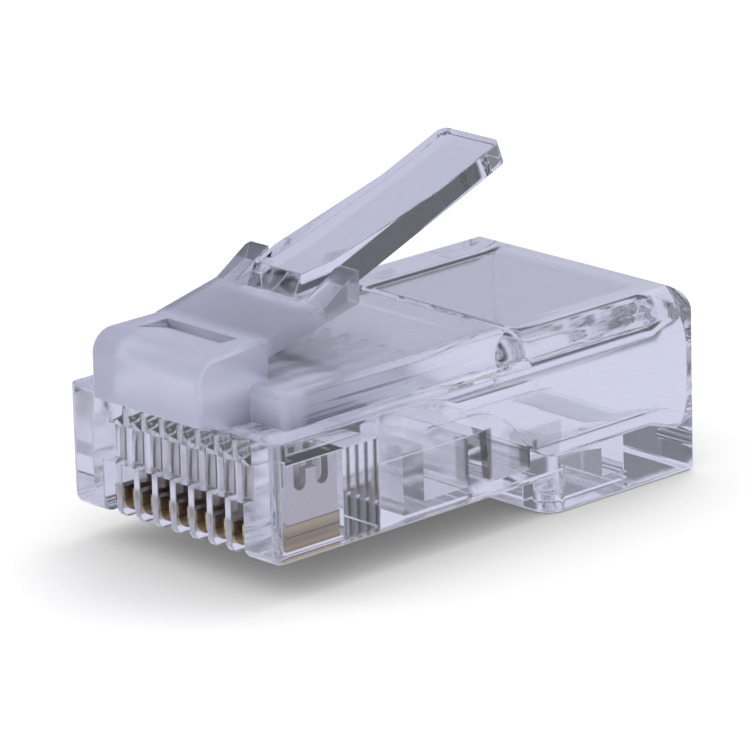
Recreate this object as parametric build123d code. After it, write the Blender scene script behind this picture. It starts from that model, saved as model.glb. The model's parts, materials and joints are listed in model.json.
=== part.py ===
from build123d import *
from math import atan, cos, degrees, radians, sin, tan
import os

# Eight-contact modular plug, as it is before it is crimped onto a cable.
# Millimetres. The nose points to -Y, the cable goes in from +Y and the latch is on top.
# The origin is the middle of the plug's length and width, on the plane it stands on.
# Distances back are counted from the contact end, heights from the contact end's underside.

# Body
plugWidth = 11.68
bodyLength = 21.7
noseOverhang = 1.2
bodyHeight = 6.15
footStep = 1.4
footStart = 13.8
shelfHeight = 4.75
shoulderWidth = 9.7
shoulderSetback = 1.35
blockStart = 12.1
noseCornerRadius = 0.45
noseUnderRadius = 0.4
shoulderRadius = 0.3
blockCornerRadius = 0.95
blockTopRadius = 1.1
footCornerRadius = 0.9
footEdgeRadius = 0.15

# Contact slots and wire bores
contactCount = 8
contactPitch = 1.02
slotWidth = 0.68
slotRear = 4.15
slotWallFront = 1.3
boreWidth = 0.86
boreFloor = 3.45
boreFront = 0.9
boreRear = 5.85

# Contacts, before the crimp
contactThickness = 0.36
contactTravel = 0.6
contactUnder = 0.05
contactEndGap = 0.1
contactHeadroom = 0.4
baseFront = 0.4
baseHeight = 1.1
baseNoseRadius = 0.6
bladeStep = 0.1
tineFoot = 2.3
tineTip = 3.5
middleTineTip = 3.05
outerTineWidth = 0.42
tineGap = 0.6
tinePoint = 0.2

# Cable cavity
sideWall = 1.09
roofThickness = 1.55
footFloor = 1.85
cavityCornerRadius = 1.2
bayWidth = 8.4
bayFloor = 2.45
bayRear = 8.2
funnelRear = 10.2
combRear = 9.0
combDepth = 0.4
sillFront = 10.45
sillRear = 11.35
sillFoot = 11.5
pocketRear = 13.65
pocketFloor = 0.35
shelfFloor = 3.3
rampTop = 11.65
rampFloor = 14.4
rampRadius = 3.0
entryFlare = 0.4
entryFlareDepth = 1.4

# Two bars that are pressed into the cable, each on a thin web
webThickness = 0.32
webLift = 0.06
hingeGap = 0.03
barGap = 0.15
wireBarFront = 7.2
wireBarLength = 1.06
wireBarTop = 2.75
wireWindowWidth = 8.2
jacketWindowWidth = 7.4
jacketWindowFront = 15.3
jacketWindowRear = 18.9
jacketBarLength = 2.4
barTopSlope = 8.0

# Latch block and latch
latchWidth = 6.02
latchBlockTop = 7.65
latchBlockLip = 0.3
latchBlockRadius = 0.95
latchEdgeRadius = 0.25
latchHingeBack = 2.3
latchThickness = 0.66
latchRise = 12.8
catchBack = 6.95
catchWidth = 1.06
catchHeight = 1.3
rampFoot = 5.15
rampTopLength = 0.3
leverWidth = 3.25
leverFootWidth = 2.6
leverFootHeight = 0.85
leverFootSlope = 0.45
leverHeelHeight = 1.45
leverBend = 8.1
leverRise = 21.2
leverThinAt = 12.5
leverThickness = 0.95
leverReach = 16.1
leverCornerRadius = 0.4
recessWidth = 3.9
recessLength = 1.5
recessDepth = 0.35
recessWall = 0.2

# Planes that the sizes give
frontY = (noseOverhang - bodyLength) / 2
deckZ = footStep
ceiling = bodyHeight - roofThickness
footFloorTop = footFloor - footStep
cavityWidth = plugWidth - 2 * sideWall
entryFront = bodyLength - entryFlareDepth
slack = 0.5


def atY(back):
    return frontY + back


def atZ(height):
    return deckZ + height


def block(width, back0, back1, height0, height1, middle=0.0):
    """A box across the plug, from distances back and heights."""
    size = Box(width, back1 - back0, height1 - height0, align=(Align.CENTER, Align.MIN, Align.MIN))
    return Pos(middle, atY(back0), atZ(height0)) * size


def sideShape(points, width, middle=0.0):
    """An outline of distances back and heights, extruded evenly across the plug."""
    outline = Polyline([(middle, atY(back), atZ(height)) for back, height in points], close=True)
    return extrude(make_face(outline), amount=width / 2, dir=(1, 0, 0), both=True)


def planShape(points, height0, height1):
    """An outline of widths and distances back, extruded upwards."""
    outline = Polyline([(x, atY(back), atZ(height0)) for x, back in points], close=True)
    return extrude(make_face(outline), amount=height1 - height0, dir=(0, 0, 1))


def crossRod(radius, width, back, height):
    """A round rod that runs across the plug."""
    return Pos(0, atY(back), atZ(height)) * Rot(0, 90, 0) * Cylinder(radius, width)


def edgesAt(part, axis, back=None, height=None):
    """The edges along an axis that lie at a distance back, a height or both."""
    chosen = part.edges().filter_by(axis)
    if back is not None:
        chosen = chosen.filter_by(lambda edge: abs(edge.center().Y - atY(back)) < 0.01)
    if height is not None:
        chosen = chosen.filter_by(lambda edge: abs(edge.center().Z - atZ(height)) < 0.01)
    return chosen


def contactX(index):
    return (index - (contactCount - 1) / 2) * contactPitch


# Housing
def outerBody():
    nose = block(plugWidth, 0, bodyLength, 0, shelfHeight)
    nose = fillet(edgesAt(nose, Axis.X, 0, 0), noseUnderRadius)
    nose = fillet(edgesAt(nose, Axis.Z, 0), noseCornerRadius)

    shoulder = block(shoulderWidth, shoulderSetback, blockStart + slack, shelfHeight - slack, bodyHeight)
    shoulder = fillet(edgesAt(shoulder, Axis.Z, shoulderSetback), shoulderRadius)
    rim = shoulder.faces().sort_by(Axis.Z)[-1].edges()
    rear = edgesAt(shoulder, Axis.X, blockStart + slack, bodyHeight)
    shoulder = fillet(rim.filter_by(lambda edge: edge.center().Y < rear[0].center().Y), shoulderRadius)

    upper = block(plugWidth, blockStart, bodyLength, shelfHeight - slack, bodyHeight)
    upper = fillet(edgesAt(upper, Axis.Y, height=bodyHeight) + edgesAt(upper, Axis.X, bodyLength, bodyHeight),
                   blockTopRadius)
    upper = fillet(edgesAt(upper, Axis.Z, blockStart), blockCornerRadius)

    foot = block(plugWidth, footStart, bodyLength, -footStep, slack)
    foot = fillet(edgesAt(foot, Axis.Z, footStart), footCornerRadius)
    foot = fillet(foot.faces().sort_by(Axis.Z)[0].edges(), footEdgeRadius)
    return nose + shoulder + upper + foot


def latchBlock():
    """The block that the latch springs from, ahead of the contact end."""
    hinge = hingeHeight()
    outline = [(-noseOverhang, shelfHeight + latchBlockLip), (-noseOverhang, latchBlockTop),
               (latchHingeBack, latchBlockTop), (latchHingeBack, shelfHeight - slack),
               (slack, shelfHeight - slack), (0, shelfHeight)]
    part = sideShape(outline, latchWidth)
    part = fillet(edgesAt(part, Axis.X, -noseOverhang, latchBlockTop), latchBlockRadius)
    part = fillet(edgesAt(part, Axis.Z, -noseOverhang), latchEdgeRadius)
    recessRear = latchHingeBack - latchThickness / 2 - hingeGap - recessWall
    recessFront = recessRear - recessLength
    recess = sideShape([(recessFront, latchBlockTop), (recessRear, latchBlockTop - recessDepth),
                        (recessRear, latchBlockTop + slack), (recessFront, latchBlockTop + slack)],
                       recessWidth)
    seat = crossRod(latchThickness / 2 + hingeGap, latchWidth + 2 * slack, latchHingeBack, hinge)
    return part - recess - seat


def contactSlot(index):
    """One slot, open below and in front, with the wire bore above it."""
    x = contactX(index)
    mouthHeight = baseHeight + contactTravel + contactHeadroom
    mouth = block(slotWidth, -slack, slotRear, -slack, mouthHeight, x)
    well = block(slotWidth, slotWallFront, slotRear, -slack, boreFloor + slack / 2, x)
    shoulder = ceiling - boreWidth / 2
    bore = block(boreWidth, boreFront, boreRear + slack, boreFloor, shoulder, x)
    arch = Pos(x, atY(boreFront), atZ(shoulder)) * Rot(-90, 0, 0) * Cylinder(
        boreWidth / 2, boreRear + slack - boreFront, align=(Align.CENTER, Align.CENTER, Align.MIN))
    return mouth + well + bore + arch


def cableSection(back):
    """The rounded outline of the cable's tunnel at a distance back."""
    middle = Plane(origin=(0, atY(back), atZ((ceiling + footFloorTop) / 2)), x_dir=(1, 0, 0), z_dir=(0, 1, 0))
    return middle * RectangleRounded(cavityWidth, ceiling - footFloorTop, cavityCornerRadius)


def cavity():
    """Room for the cable: its tunnel with a ramp up to the wires, the wires' bay and the flared entry."""
    side = sideShape([(bayRear, shelfFloor), (bayRear, ceiling), (entryFront, ceiling),
                      (entryFront, footFloorTop), (rampFloor, footFloorTop), (rampTop, shelfFloor)],
                     plugWidth)
    side = fillet(edgesAt(side, Axis.X, rampFloor, footFloorTop) + edgesAt(side, Axis.X, rampTop, shelfFloor),
                  rampRadius)
    right = [(bayWidth / 2, bayRear), (cavityWidth / 2, funnelRear), (cavityWidth / 2, entryFront)]
    left = [(-x, back) for x, back in reversed(right)]
    tunnel = extrude(cableSection(bayRear), amount=entryFront - bayRear)
    tunnel = tunnel & side & planShape(right + left, -footStep, bodyHeight)

    bay = sideShape([(boreRear, bayFloor), (boreRear, ceiling), (bayRear + slack, ceiling),
                     (bayRear + slack, shelfFloor + slack), (pocketRear, shelfFloor + slack),
                     (pocketRear, pocketFloor), (sillFoot, pocketFloor), (sillRear, bayFloor)], bayWidth)
    flare = degrees(atan(entryFlare / entryFlareDepth))
    entry = extrude(cableSection(entryFront), amount=entryFlareDepth + slack, taper=-flare)
    return tunnel + bay + entry


def combs():
    """Ribs under the roof that keep the wires apart behind the bores."""
    ribWidth = contactPitch - boreWidth
    ribs = [block(ribWidth, boreRear - slack, combRear, ceiling - combDepth, ceiling + slack / 2,
                  contactX(index) + contactPitch / 2) for index in range(contactCount - 1)]
    return Part() + ribs


def barWindows():
    """Openings through the floor for the two bars, with the seats of their webs."""
    seat = webThickness / 2 + hingeGap
    wire = block(wireWindowWidth, boreRear, sillFront, -slack, bayFloor + slack / 2)
    wireSeat = crossRod(seat, wireWindowWidth, sillFront, wireHinge())
    jacket = block(jacketWindowWidth, jacketWindowFront, jacketWindowRear, -footStep - slack,
                   footFloorTop + slack / 2)
    jacketSeat = crossRod(seat, jacketWindowWidth, jacketWindowRear, jacketHinge())
    return wire + wireSeat + jacket + jacketSeat


def housing():
    part = outerBody() + latchBlock()
    part = part - cavity() - [contactSlot(index) for index in range(contactCount)]
    return part + combs() - barWindows()


# Bars on webs
def wireHinge():
    return webLift + webThickness / 2


def jacketHinge():
    return wireHinge() - footStep


def webBar(front, length, rear, height, hinge, width):
    """A bar with its web, which ends in a round edge seated in the housing."""
    low = hinge - webThickness / 2
    heightRear = height - length * tan(radians(barTopSlope))
    bar = sideShape([(front, low), (front, height), (front + length, heightRear), (front + length, low)],
                    width)
    web = block(width, front + length - slack, rear, low, low + webThickness)
    return bar + web + crossRod(webThickness / 2, width, rear, hinge)


def wireBar():
    return webBar(wireBarFront, wireBarLength, sillFront, wireBarTop, wireHinge(),
                  wireWindowWidth - 2 * barGap)


def jacketBar():
    return webBar(jacketWindowFront + barGap, jacketBarLength, jacketWindowRear, footFloorTop, jacketHinge(),
                  jacketWindowWidth - 2 * barGap)


# Contacts
def contact(index):
    """A stamped blade: a broad base, three tines and a rounded corner at the nose."""
    rear = slotRear - contactEndGap
    bladeFront = slotWallFront + contactEndGap
    bladeRear = rear - bladeStep
    gapOne = bladeFront + outerTineWidth
    gapTwo = bladeRear - outerTineWidth
    base = sideShape([(baseFront, contactUnder), (baseFront, baseHeight), (rear, baseHeight),
                      (rear, contactUnder)], contactThickness, contactX(index))
    base = fillet(edgesAt(base, Axis.X, baseFront, contactUnder), baseNoseRadius)
    blade = sideShape([(bladeFront, slack), (bladeFront, tineTip - tinePoint), (gapOne - tinePoint, tineTip),
                       (gapTwo + tinePoint, tineTip), (bladeRear, tineTip - tinePoint), (bladeRear, slack)],
                      contactThickness, contactX(index))
    middle = block(contactThickness + slack, gapOne, gapTwo, middleTineTip, tineTip + slack, contactX(index))
    gaps = [tineSlot(gapOne, contactX(index)), tineSlot(gapTwo - tineGap, contactX(index))]
    return base + blade - middle - gaps


def tineSlot(front, x):
    """The round-bottomed gap between two tines."""
    radius = tineGap / 2
    straight = block(contactThickness + slack, front, front + tineGap, tineFoot + radius, tineTip + slack, x)
    end = Pos(x, 0, 0) * crossRod(radius, contactThickness + slack, front + radius, tineFoot + radius)
    return straight + end


# Latch
def hingeHeight():
    return latchBlockTop - latchThickness / 2


def plateTop(back):
    """Height of the latch plate's upper face at a distance back."""
    rise = radians(latchRise)
    return hingeHeight() + latchThickness / 2 / cos(rise) + (back - latchHingeBack) * tan(rise)


def plateUnder(back):
    return plateTop(back) - latchThickness / cos(radians(latchRise))


def leverUnder(back):
    """Height of the lever's lower face behind its bend."""
    return plateUnder(leverBend) + (back - leverBend) * tan(radians(leverRise))


def latch():
    rise = radians(latchRise)
    tangent = latchThickness / 2 * sin(rise)
    plate = sideShape([(latchHingeBack - tangent, plateTop(latchHingeBack - tangent)),
                       (catchBack, plateTop(catchBack)), (catchBack, plateUnder(catchBack)),
                       (latchHingeBack + tangent, plateUnder(latchHingeBack + tangent))], latchWidth)
    plate = plate + crossRod(latchThickness / 2, latchWidth, latchHingeBack, hingeHeight())

    catchTop = plateUnder(catchBack) + catchHeight
    ear = sideShape([(rampFoot, plateTop(rampFoot) - slack), (rampFoot, plateTop(rampFoot)),
                     (catchBack - rampTopLength, catchTop - rampTopLength / 4), (catchBack, catchTop),
                     (catchBack, plateUnder(catchBack))], catchWidth, (latchWidth - catchWidth) / 2)
    ears = ear + mirror(ear, Plane.YZ)

    slope = radians(leverRise)
    tipTop = leverUnder(leverReach) + leverThickness * cos(slope)
    outline = [(rampFoot, plateUnder(rampFoot)), (rampFoot, plateTop(rampFoot)),
               (rampFoot + leverFootSlope, plateTop(rampFoot) + leverFootHeight),
               (catchBack, plateUnder(catchBack) + leverHeelHeight),
               (leverThinAt, leverUnder(leverThinAt) + leverThickness / cos(slope)),
               (leverReach - leverThickness * sin(slope), tipTop),
               (leverReach, leverUnder(leverReach)), (leverBend, plateUnder(leverBend))]
    lever = sideShape(outline, leverWidth)
    tip = lever.edges().filter_by(lambda edge: edge.center().Y > atY(leverReach - leverThickness) and
                                  abs(abs(edge.center().X) - leverWidth / 2) < 0.01 and
                                  abs(edge.tangent_at(0.5).Z) > 0.7)
    lever = fillet(tip, leverCornerRadius)
    taper = planShape([(leverWidth, rampFoot - slack), (leverFootWidth / 2, rampFoot - slack),
                       (leverFootWidth / 2, rampFoot + leverFootSlope), (leverWidth / 2, catchBack),
                       (leverWidth, catchBack)], shelfHeight, tipTop)
    return plate + ears + (lever - taper - mirror(taper, Plane.YZ))


parts = {"housing": housing(), "latch": latch(), "wire_bar": wireBar(), "jacket_bar": jacketBar()}
for index in range(contactCount):
    parts[f"contact_{index + 1}"] = contact(index)

os.makedirs("parts", exist_ok=True)
for name, shape in parts.items():
    export_step(shape, f"parts/{name}.step")
    print(name, len(shape.solids()), round(shape.volume, 2))
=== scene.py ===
import bmesh
import bpy
import json
from math import cos, radians, sin
from mathutils import Matrix, Vector
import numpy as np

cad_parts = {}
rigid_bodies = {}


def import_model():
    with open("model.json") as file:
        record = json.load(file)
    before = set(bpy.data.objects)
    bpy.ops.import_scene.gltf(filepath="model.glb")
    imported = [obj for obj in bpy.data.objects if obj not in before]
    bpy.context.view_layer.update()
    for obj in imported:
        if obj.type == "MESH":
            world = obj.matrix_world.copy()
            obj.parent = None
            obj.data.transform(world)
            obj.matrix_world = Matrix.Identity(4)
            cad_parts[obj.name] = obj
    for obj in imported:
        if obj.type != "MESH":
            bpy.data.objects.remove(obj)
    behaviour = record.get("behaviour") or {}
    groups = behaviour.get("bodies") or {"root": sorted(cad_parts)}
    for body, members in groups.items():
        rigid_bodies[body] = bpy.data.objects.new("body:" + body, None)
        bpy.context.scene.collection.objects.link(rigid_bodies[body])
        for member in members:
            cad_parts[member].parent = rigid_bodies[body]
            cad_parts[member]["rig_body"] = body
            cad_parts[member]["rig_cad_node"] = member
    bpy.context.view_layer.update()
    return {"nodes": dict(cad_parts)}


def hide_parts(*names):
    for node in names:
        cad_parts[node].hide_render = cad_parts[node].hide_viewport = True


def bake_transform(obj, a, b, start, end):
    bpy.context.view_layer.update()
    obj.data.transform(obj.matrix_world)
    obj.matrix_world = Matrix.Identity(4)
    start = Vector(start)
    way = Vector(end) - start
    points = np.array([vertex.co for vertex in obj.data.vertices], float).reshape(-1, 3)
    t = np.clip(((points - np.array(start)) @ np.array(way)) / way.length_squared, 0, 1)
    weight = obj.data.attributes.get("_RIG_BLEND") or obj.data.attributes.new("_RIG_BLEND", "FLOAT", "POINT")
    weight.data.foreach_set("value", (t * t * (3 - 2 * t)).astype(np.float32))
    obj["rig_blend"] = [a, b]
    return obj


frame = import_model()
print("frame loaded:", len(frame["nodes"]), "nodes")

mm = 0.001


# Small helpers for selecting and for meshes
def pickOnly(*objects):
    bpy.ops.object.select_all(action="DESELECT")
    for thing in objects:
        thing.select_set(True)
    bpy.context.view_layer.objects.active = objects[0]


def applyModifiers(thing):
    pickOnly(thing)
    for modifier in list(thing.modifiers):
        bpy.ops.object.modifier_apply(modifier=modifier.name)


def editMesh(thing):
    pickOnly(thing)
    bpy.ops.object.mode_set(mode="EDIT")
    bpy.ops.mesh.select_all(action="SELECT")


def mergePoints(thing, nearMm):
    editMesh(thing)
    bpy.ops.mesh.remove_doubles(threshold=nearMm * mm)
    bpy.ops.object.mode_set(mode="OBJECT")


def towards(azimuth, elevation):
    a, e = radians(azimuth), radians(elevation)
    return Vector((sin(a) * cos(e), -cos(a) * cos(e), sin(e)))


# Small helpers for material nodes
def newMaterial(name):
    material = bpy.data.materials.new(name)
    material.use_nodes = True
    return material, material.node_tree


def addNode(tree, kind, **settings):
    node = tree.nodes.new("ShaderNode" + kind)
    for key, value in settings.items():
        if key in node.inputs:
            node.inputs[key].default_value = value
        else:
            setattr(node, key, value)
    return node


def feed(tree, value, socket):
    if isinstance(value, bpy.types.NodeSocket):
        tree.links.new(value, socket)
    else:
        socket.default_value = value


def calculate(tree, operation, first, *others):
    for other in others:
        node = addNode(tree, "Math", operation=operation)
        feed(tree, first, node.inputs[0])
        feed(tree, other, node.inputs[1])
        first = node.outputs[0]
    return first


def multiply(tree, *values):
    return calculate(tree, "MULTIPLY", *values)


def addUp(tree, *values):
    return calculate(tree, "ADD", *values)


def ramp(tree, value, start, end, first=0.0, last=1.0):
    node = addNode(tree, "MapRange", interpolation_type="SMOOTHSTEP")
    for socket, number in zip(node.inputs, (value, start, end, first, last)):
        feed(tree, number, socket)
    return node.outputs[0]


# the Mix node has sockets of its own for each kind of value: share, first, second and result
mixSockets = dict(FLOAT=(0, 2, 3, 0), RGBA=(0, 6, 7, 2))


def mix(tree, kind, *values):
    node = addNode(tree, "Mix", data_type=kind)
    *inputs, result = mixSockets[kind]
    for index, value in zip(inputs, values):
        feed(tree, value, node.inputs[index])
    return node.outputs[result]


def mixShaders(tree, share, first, second):
    node = tree.nodes.new("ShaderNodeMixShader")
    for socket, value in zip(node.inputs, (share, first, second)):
        feed(tree, value, socket)
    return node.outputs[0]


def placeInMm(tree):
    place = tree.nodes.new("ShaderNodeTexCoord").outputs["Object"]
    scaled = addNode(tree, "VectorMath", operation="SCALE", Scale=1 / mm)
    axes = tree.nodes.new("ShaderNodeSeparateXYZ")
    tree.links.new(place, scaled.inputs[0])
    tree.links.new(scaled.outputs[0], axes.inputs[0])
    return place, axes.outputs


def absolute(tree, value):
    node = addNode(tree, "Math", operation="ABSOLUTE")
    feed(tree, value, node.inputs[0])
    return node.outputs[0]


# The clear moulding: housing and latch are one piece of plastic, joined by the bend behind the latch block
moulding = dict(
    mergeNear=0.002,                        # all in mm and degrees
    hingeY=-7.95, hingeZ=8.72,              # axis of the bend
    bendStart=-8.05, bendEnd=-6.75,
    plateHalf=0.42, plateSlope=0.2,         # from the axis down to the latch plate's underside, and its rise
    fillFront=-8.45, fillRear=-7.945, fillLow=8.35, fillRound=0.255, fillSteps=8,
    hair=0.001,
    # no room for a rounded edge, from and to along and up: the bend, the seats of the two webs, the foot of the
    # upper corners
    keptSharp=((-8.55, -7.85, 8.25, 9.2), (8.35, 8.95, -0.1, 0.5), (-0.1, 0.5, 1.3, 1.9), (1.8, 2.9, 6.1, 6.2)),
    flatAngle=1.0, smoothAngle=50.0, flatFirst=100,
    edgeRound=0.05, edgeAngle=35.0, edgeSteps=2,
)


def copyNode(name, newName):
    pickOnly(frame["nodes"][name])
    bpy.ops.object.duplicate()
    copy = bpy.context.object
    copy.name = newName
    copy.parent = None
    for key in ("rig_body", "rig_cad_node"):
        if key in copy:
            del copy[key]
    mergePoints(copy, moulding["mergeNear"])
    return copy


def makeFiller(top, side):
    m = moulding
    bpy.ops.object.select_all(action="DESELECT")
    bpy.ops.mesh.primitive_cube_add(size=2)
    filler = bpy.context.object
    for vertex in filler.data.vertices:
        x, y, z = vertex.co
        vertex.co = (side if x > 0 else -side, (m["fillRear"] if y > 0 else m["fillFront"]) * mm,
                     top if z > 0 else m["fillLow"] * mm)
    editMesh(filler)
    near = m["hair"] * mm
    mesh = bmesh.from_edit_mesh(filler.data)
    for edge in mesh.edges:
        ends = [vertex.co for vertex in edge.verts]
        edge.select_set(all(abs(end.z - top) < near for end in ends) and abs(ends[0].x - ends[1].x) < near)
    bpy.ops.mesh.bevel(offset=m["fillRound"] * mm, segments=m["fillSteps"])
    bpy.ops.object.mode_set(mode="OBJECT")
    return filler


def isWithin(edge, box):
    back0, back1, up0, up1 = box
    return all(back0 < vertex.co.y / mm < back1 and up0 < vertex.co.z / mm < up1 for vertex in edge.verts)


def roundEdges(piece):
    m = moulding
    editMesh(piece)
    bpy.ops.mesh.dissolve_limited(angle_limit=radians(m["flatAngle"]))
    bpy.ops.mesh.select_all(action="DESELECT")
    mesh = bmesh.from_edit_mesh(piece.data)
    for edge in mesh.edges:
        tight = any(isWithin(edge, box) for box in m["keptSharp"])
        sharp = len(edge.link_faces) == 2 and edge.calc_face_angle() > radians(m["edgeAngle"])
        edge.select_set(sharp and not tight)
    bpy.ops.mesh.bevel(offset=m["edgeRound"] * mm, segments=m["edgeSteps"])
    bpy.ops.object.mode_set(mode="OBJECT")


def makeMoulding():
    m = moulding
    piece = copyNode("housing", "clearMoulding")
    latch = copyNode("latch", "latchCopy")
    # the filler closes the seat of the bend and stops a hair inside the block
    top = max(vertex.co.z for vertex in piece.data.vertices) - m["hair"] * mm
    side = max(vertex.co.x for vertex in latch.data.vertices) - m["hair"] * mm
    filler = makeFiller(top, side)
    for other in (filler, latch):
        join = piece.modifiers.new("join", "BOOLEAN")
        join.operation = "UNION"
        join.solver = "EXACT"
        join.object = other
        applyModifiers(piece)
        bpy.data.objects.remove(other)
    mergePoints(piece, m["mergeNear"])
    roundEdges(piece)
    pickOnly(piece)
    bpy.ops.object.shade_smooth_by_angle(angle=radians(m["smoothAngle"]))
    evenShade = piece.modifiers.new("evenShade", "WEIGHTED_NORMAL")
    evenShade.keep_sharp = True
    evenShade.weight = m["flatFirst"]       # large flat faces rule the shading of their edges
    applyModifiers(piece)
    return piece


def bendMoulding(piece):
    m = moulding
    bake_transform(piece, "housing_body", "latch_body",
             start=(0, m["bendStart"] * mm, m["hingeZ"] * mm), end=(0, m["bendEnd"] * mm, m["hingeZ"] * mm))
    # what lies under the latch plate or before the bend stays with the housing
    weights = piece.data.attributes["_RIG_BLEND"].data
    for vertex, weight in zip(piece.data.vertices, weights):
        behind = vertex.co.y - m["hingeY"] * mm
        plateUnder = m["hingeZ"] * mm - m["plateHalf"] * mm + behind * m["plateSlope"]
        if vertex.co.z < plateUnder or vertex.co.y < m["bendStart"] * mm:
            weight.value = 0.0
    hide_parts("housing", "latch")


plug = makeMoulding()
bendMoulding(plug)
print("moulding:", len(plug.data.vertices), "points")


# Fine unevenness that every moulded or stamped surface here has
grainKinds = dict(Cloud=dict(times=1.0, detail=2.0, rough=0.55), Grain=dict(times=14.0, detail=4.0, rough=0.55))


def makeGrain():
    group = bpy.data.node_groups.new("fineGrain", "ShaderNodeTree")
    for name, kind in (("Point", "NodeSocketVector"), ("Size", "NodeSocketFloat"), ("Stretch", "NodeSocketVector")):
        group.interface.new_socket(name=name, in_out="INPUT", socket_type=kind)
    for name in grainKinds:
        group.interface.new_socket(name=name, in_out="OUTPUT", socket_type="NodeSocketFloat")
    start, end = group.nodes.new("NodeGroupInput"), group.nodes.new("NodeGroupOutput")
    stretch = addNode(group, "VectorMath", operation="MULTIPLY")
    group.links.new(start.outputs["Point"], stretch.inputs[0])
    group.links.new(start.outputs["Stretch"], stretch.inputs[1])
    for name, kind in grainKinds.items():
        noise = addNode(group, "TexNoise", Detail=kind["detail"], Roughness=kind["rough"])
        group.links.new(stretch.outputs[0], noise.inputs["Vector"])
        group.links.new(multiply(group, start.outputs["Size"], kind["times"]), noise.inputs["Scale"])
        group.links.new(noise.outputs["Fac"], end.inputs[name])
    return group


def addGrain(tree, group, point, size, stretch=(1, 1, 1)):
    grain = tree.nodes.new("ShaderNodeGroup")
    grain.node_tree = group
    grain.inputs["Size"].default_value = size
    grain.inputs["Stretch"].default_value = stretch
    tree.links.new(point, grain.inputs["Point"])
    return grain


# Clear plastic: polished, but for the latch block, the latch plate and the front of the shoulder, which are frosted
clearPlastic = dict(
    ior=1.58, clear=(1, 1, 1, 1), tint=(0.37, 0.38, 0.62, 1),
    polished=0.02, frosted=0.32, inner=0.05,            # roughness of the skin, the frost and the inner faces
    cloudSize=260.0, cloud=0.03,
    skinOut=5.6, skinIn=5.3, skinBack=11.2, skinTop=7.25, skinFade=0.2,
    # frost: from this height up, from the nose to where it ends in clear
    frostLow=5.9, frostHigh=6.4, frostEnd=-5.3, clearStart=1.0,
    # the lever and its foot are polished, and the ears beside it a little
    footStart=-5.4, footEnd=-4.9, footLow=7.5, footHigh=7.9, leverSide=1.65, earSide=1.8, earClear=0.35,
    # frost is milky, most on the latch block, and sandy
    milk=(0.60, 0.61, 0.80, 1), milkBlock=0.55, milkPlate=0.34, milkFrom=-8.2, milkTo=-7.6,
    sandSize=1000.0, sandMiddle=0.5, sand=0.5, bump=0.35, bumpDepth=0.00001,
    # fine dark streaks along the shoulder
    streakSize=1500.0, streakStretch=(1, 0.05, 4), streakFrom=0.47, streakTo=0.57,
    streakColour=(0.17, 0.18, 0.31, 1), streakShare=0.4,
    # painted shade: soft-edged boxes on inner faces where a dark diffuse stands in for their shade: from and to
    # across, along and up, with their share
    paintedShade=((3.4, 5.0, 0.1, 0.3, 1.9, 3.7, 0.4), (3.4, 5.0, 1.0, 1.35, 1.9, 3.9, 0.7),
          (3.6, 5.0, 3.28, 3.52, 1.8, 3.0, 0.5), (3.4, 5.0, 2.3, 4.8, 1.95, 3.5, 0.2),
          (2.6, 4.1, -3.15, -1.9, 1.5, 4.3, 0.1)),
    paintedShadeEdge=0.08, paintedShadeColour=(0.10, 0.095, 0.13, 1),
)


def frostOver(tree, side, back, up):
    p = clearPlastic
    foot = multiply(tree, ramp(tree, back, p["footStart"], p["footEnd"]), ramp(tree, up, p["footLow"], p["footHigh"]),
                    ramp(tree, side, p["leverSide"], p["earSide"], 1.0, p["earClear"]))
    return multiply(tree, ramp(tree, up, p["frostLow"], p["frostHigh"]),
                    ramp(tree, back, p["frostEnd"], p["clearStart"], 1.0, 0.0),
                    addUp(tree, multiply(tree, foot, -1.0), 1.0))


def innerFaces(tree, side, back, up):
    p = clearPlastic
    return multiply(tree, ramp(tree, side, p["skinOut"], p["skinIn"]),
                    ramp(tree, back, p["skinBack"] + p["skinFade"], p["skinBack"]),
                    ramp(tree, up, p["skinTop"] + p["skinFade"], p["skinTop"]))


# painted shade: how much of the dark diffuse each point takes, summed over the boxes
def paintedShadeBoxes(tree, side, back, up):
    edge = clearPlastic["paintedShadeEdge"]
    total = 0.0
    for across0, across1, along0, along1, up0, up1, level in clearPlastic["paintedShade"]:
        box = ramp(tree, side, across0 - edge, across0 + edge, 0.0, level)
        for value, out, full in ((side, across1 + edge, across1 - edge), (back, along0 - edge, along0 + edge),
                                 (back, along1 + edge, along1 - edge), (up, up0 - edge, up0 + edge),
                                 (up, up1 + edge, up1 - edge)):
            box = multiply(tree, box, ramp(tree, value, out, full))
        total = addUp(tree, box, total)
    return total


def shoulderStreaks(tree, grainGroup, place, back, up):
    p = clearPlastic
    streaks = addGrain(tree, grainGroup, place, p["streakSize"], p["streakStretch"])
    return multiply(tree, ramp(tree, streaks.outputs["Cloud"], p["streakFrom"], p["streakTo"]),
                    ramp(tree, back, p["milkFrom"], p["milkTo"]),
                    ramp(tree, up, p["skinTop"] + p["skinFade"], p["skinTop"]))


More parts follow.
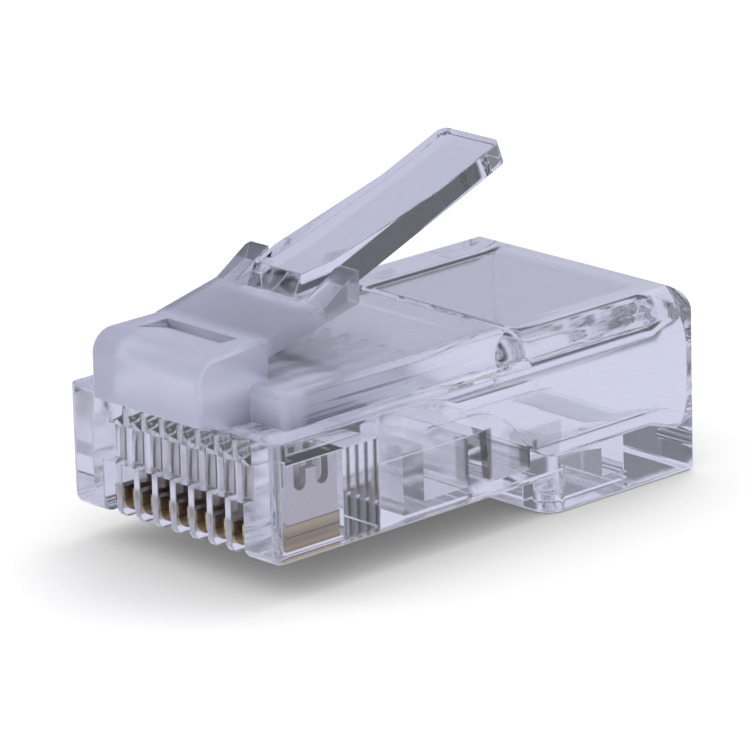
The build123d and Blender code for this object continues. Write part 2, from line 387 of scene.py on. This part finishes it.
def makeClearPlastic(grainGroup):
    p = clearPlastic
    material, tree = newMaterial("clearPlastic")
    shader = tree.nodes["Principled BSDF"]
    shader.inputs["IOR"].default_value = p["ior"]
    shader.inputs["Transmission Weight"].default_value = 1.0
    place, axes = placeInMm(tree)
    side, back, up = absolute(tree, axes["X"]), axes["Y"], axes["Z"]
    frost = frostOver(tree, side, back, up)
    cloud = addGrain(tree, grainGroup, place, p["cloudSize"])
    rough = addUp(tree, p["polished"],
                  multiply(tree, frost, p["frosted"] - p["polished"]),
                  multiply(tree, innerFaces(tree, side, back, up), p["inner"] - p["polished"]),
                  multiply(tree, cloud.outputs["Cloud"], p["cloud"]))
    tree.links.new(rough, shader.inputs["Roughness"])
    # the tint shows once in what the camera sees, however many walls lie behind each other
    path = tree.nodes.new("ShaderNodeLightPath")
    colour = mix(tree, "RGBA", path.outputs["Is Camera Ray"], p["clear"], p["tint"])
    tree.links.new(colour, shader.inputs["Base Color"])
    sand = addGrain(tree, grainGroup, place, p["sandSize"]).outputs["Grain"]
    bump = addNode(tree, "Bump", Strength=p["bump"], Distance=p["bumpDepth"])
    tree.links.new(multiply(tree, sand, frost), bump.inputs["Height"])
    tree.links.new(bump.outputs[0], shader.inputs["Normal"])
    # painted shade: a dark diffuse mixed into the clear plastic inside those boxes
    paintedShade = addNode(tree, "BsdfDiffuse", Color=p["paintedShadeColour"])
    surface = mixShaders(tree, paintedShadeBoxes(tree, side, back, up), shader.outputs[0], paintedShade.outputs[0])
    streak = shoulderStreaks(tree, grainGroup, place, back, up)
    milk = tree.nodes.new("ShaderNodeBsdfDiffuse")
    tree.links.new(mix(tree, "RGBA", streak, p["milk"], p["streakColour"]), milk.inputs["Color"])
    tree.links.new(bump.outputs[0], milk.inputs["Normal"])
    share = addUp(tree, ramp(tree, back, p["milkFrom"], p["milkTo"], p["milkBlock"], p["milkPlate"]),
                  multiply(tree, streak, p["streakShare"]))
    uneven = addUp(tree, multiply(tree, addUp(tree, sand, -p["sandMiddle"]), p["sand"]), 1.0)
    surface = mixShaders(tree, multiply(tree, frost, share, uneven), surface, milk.outputs[0])
    tree.links.new(surface, tree.nodes["Material Output"].inputs["Surface"])
    return material


# Contacts: nickel, with gold over the lower end that the jack touches
contactMetal = dict(
    nickel=(0.68, 0.65, 0.64, 1), gold=(0.64, 0.52, 0.32, 1), goldTop=2.45, goldEdge=0.05,
    # dark lines painted on, a painted shadow line where the gold starts and darker bands at its step and at its foot:
    # height, half width, share
    shadeAndDirt=(0.16, 0.12, 0.10, 1), shadeLines=((2.45, 0.05, 0.8), (2.0, 0.08, 0.6), (1.5, 0.1, 0.5)),
    dirt=1.1, dirtFrom=0.35, dirtSize=900.0, dirtStretch=(0.3, 0.05, 3),
    roughness=0.26, brushSize=500.0, brushStretch=(1, 1, 6), brush=0.16,
)


def makeContactMetal(grainGroup):
    p = contactMetal
    material, tree = newMaterial("contactMetal")
    shader = tree.nodes["Principled BSDF"]
    shader.inputs["Metallic"].default_value = 1.0
    place, axes = placeInMm(tree)
    up = axes["Z"]
    plated = ramp(tree, up, p["goldTop"] + p["goldEdge"], p["goldTop"])
    plating = mix(tree, "RGBA", plated, p["nickel"], p["gold"])
    # painted shade: dark lines across the contact at fixed heights, the top one a painted shadow line; the same dark
    # colour also marks the dirt on the gold
    shadeLines = 0.0
    for height, half, share in p["shadeLines"]:
        line = multiply(tree, ramp(tree, up, height - half, height), ramp(tree, up, height + half, height, 0.0, share))
        shadeLines = addUp(tree, line, shadeLines)
    band = addGrain(tree, grainGroup, place, p["dirtSize"], p["dirtStretch"]).outputs["Cloud"]
    dirt = multiply(tree, addUp(tree, band, -p["dirtFrom"]), p["dirt"], plated)
    tree.links.new(mix(tree, "RGBA", addUp(tree, shadeLines, dirt), plating, p["shadeAndDirt"]), shader.inputs["Base Color"])
    brush = addGrain(tree, grainGroup, place, p["brushSize"], p["brushStretch"]).outputs["Grain"]
    tree.links.new(addUp(tree, multiply(tree, brush, p["brush"]), p["roughness"]), shader.inputs["Roughness"])
    return material


def paint(thing, material):
    thing.data.materials.clear()
    thing.data.materials.append(material)


fineGrain = makeGrain()
plastic = makeClearPlastic(fineGrain)
metal = makeContactMetal(fineGrain)
paint(plug, plastic)
for name, node in frame["nodes"].items():
    if name.startswith("contact"):
        paint(node, metal)
    elif name.endswith("bar"):
        paint(node, plastic)
print("materials done")


# Stage: floor, room and lamps
stage = dict(
    floorSize=3.0, floorDrop=0.02, floorColour=(1, 1, 1, 1), floorRough=0.9, shadowLift=0.12,
    sky=(0.985, 0.985, 1, 1), skyLevel=1.0,
    # dark cards behind the plug: azimuth, elevation, inner and outer half angle, level
    cards=((238, 40, 14, 30, 0.08), (224, 19, 9, 19, 0.35), (314, 17, 10, 20, 0.25)),
    topLamp=dict(azimuth=190, elevation=62, distance=0.8, size=0.45, power=1.3),
    frontLamp=dict(azimuth=-40, elevation=40, distance=0.7, size=0.35, power=0.4),
)


# what the surroundings show to a ray that comes from glass or metal
def glassOrMetal(tree, path):
    return addUp(tree, path.outputs["Is Glossy Ray"], path.outputs["Is Transmission Ray"])


def makeFloor():
    s = stage
    bpy.ops.object.select_all(action="DESELECT")
    bpy.ops.mesh.primitive_plane_add(size=s["floorSize"], location=(0, 0, -s["floorDrop"] * mm))
    floor = bpy.context.object
    floor.name = "floor"
    bpy.ops.object.transform_apply(location=True, rotation=True, scale=True)
    material, tree = newMaterial("floor")
    shader = tree.nodes["Principled BSDF"]
    shader.inputs["Base Color"].default_value = s["floorColour"]
    shader.inputs["Roughness"].default_value = s["floorRough"]
    # glass and metal see the floor as plain white, the camera sees it with the plug's shadow
    path = tree.nodes.new("ShaderNodeLightPath")
    white = addUp(tree, multiply(tree, path.outputs["Is Camera Ray"], s["shadowLift"]), glassOrMetal(tree, path))
    glow = addNode(tree, "Emission", Strength=1.0)
    surface = mixShaders(tree, white, shader.outputs[0], glow.outputs[0])
    tree.links.new(surface, tree.nodes["Material Output"].inputs["Surface"])
    paint(floor, material)


def makeRoom():
    s = stage
    world = bpy.data.worlds.new("studio")
    world.use_nodes = True
    bpy.context.scene.world = world
    tree = world.node_tree
    # the room is bright all round, but for three dark cards that glass and metal see
    direction = addNode(tree, "VectorMath", operation="NORMALIZE")
    tree.links.new(tree.nodes.new("ShaderNodeTexCoord").outputs["Generated"], direction.inputs[0])
    room = 1.0
    for azimuth, elevation, inner, outer, dark in s["cards"]:
        facing = addNode(tree, "VectorMath", operation="DOT_PRODUCT")
        facing.inputs[1].default_value = towards(azimuth, elevation)
        tree.links.new(direction.outputs[0], facing.inputs[0])
        card = ramp(tree, facing.outputs["Value"], cos(radians(outer)), cos(radians(inner)), 1.0, dark)
        room = multiply(tree, card, room)
    level = mix(tree, "FLOAT", glassOrMetal(tree, tree.nodes.new("ShaderNodeLightPath")), s["skyLevel"], room)
    tree.nodes["Background"].inputs["Color"].default_value = s["sky"]
    tree.links.new(level, tree.nodes["Background"].inputs["Strength"])


def makeLamp(name, azimuth, elevation, distance, size, power):
    back = towards(azimuth, elevation)
    bpy.ops.object.light_add(type="AREA", location=back * distance)
    lamp = bpy.context.object
    lamp.name = name
    lamp.rotation_euler = back.to_track_quat("Z", "Y").to_euler()
    lamp.data.size = size
    lamp.data.energy = power
    lamp.visible_glossy = lamp.visible_transmission = False     # no lamp shows as a sharp line in the plastic


makeFloor()
makeRoom()
for name in ("topLamp", "frontLamp"):
    makeLamp(name, **stage[name])
print("stage done")


# Camera
camera = dict(azimuth=47.34, elevation=17.28, roll=-1.6, distance=0.2332, target=(0, -0.00025, 0.0054),
              lens=294.25, shiftX=0.01, shiftY=-0.0028, clipStart=0.01, clipEnd=10)


def makeCamera():
    c = camera
    azimuth, roll = radians(c["azimuth"]), radians(c["roll"])
    back = towards(c["azimuth"], c["elevation"])
    right = Vector((cos(azimuth), sin(azimuth), 0))
    up = back.cross(right)
    across = right * cos(roll) + up * sin(roll)
    along = up * cos(roll) - right * sin(roll)
    data = bpy.data.cameras.new("camera")
    eye = bpy.data.objects.new("camera", data)
    bpy.context.scene.collection.objects.link(eye)
    turn = Matrix((across, along, back)).transposed().to_4x4()
    eye.matrix_world = Matrix.Translation(Vector(c["target"]) + back * c["distance"]) @ turn
    data.lens = c["lens"]
    data.shift_x = c["shiftX"]
    data.shift_y = c["shiftY"]
    data.clip_start = c["clipStart"]
    data.clip_end = c["clipEnd"]
    bpy.context.scene.camera = eye


makeCamera()
bpy.context.scene.view_settings.view_transform = "Standard"
bounces = 32        # light turns back many times inside clear plastic
cycles = bpy.context.scene.cycles
cycles.max_bounces = cycles.transmission_bounces = cycles.glossy_bounces = bounces
cycles.caustics_reflective = cycles.caustics_refractive = False
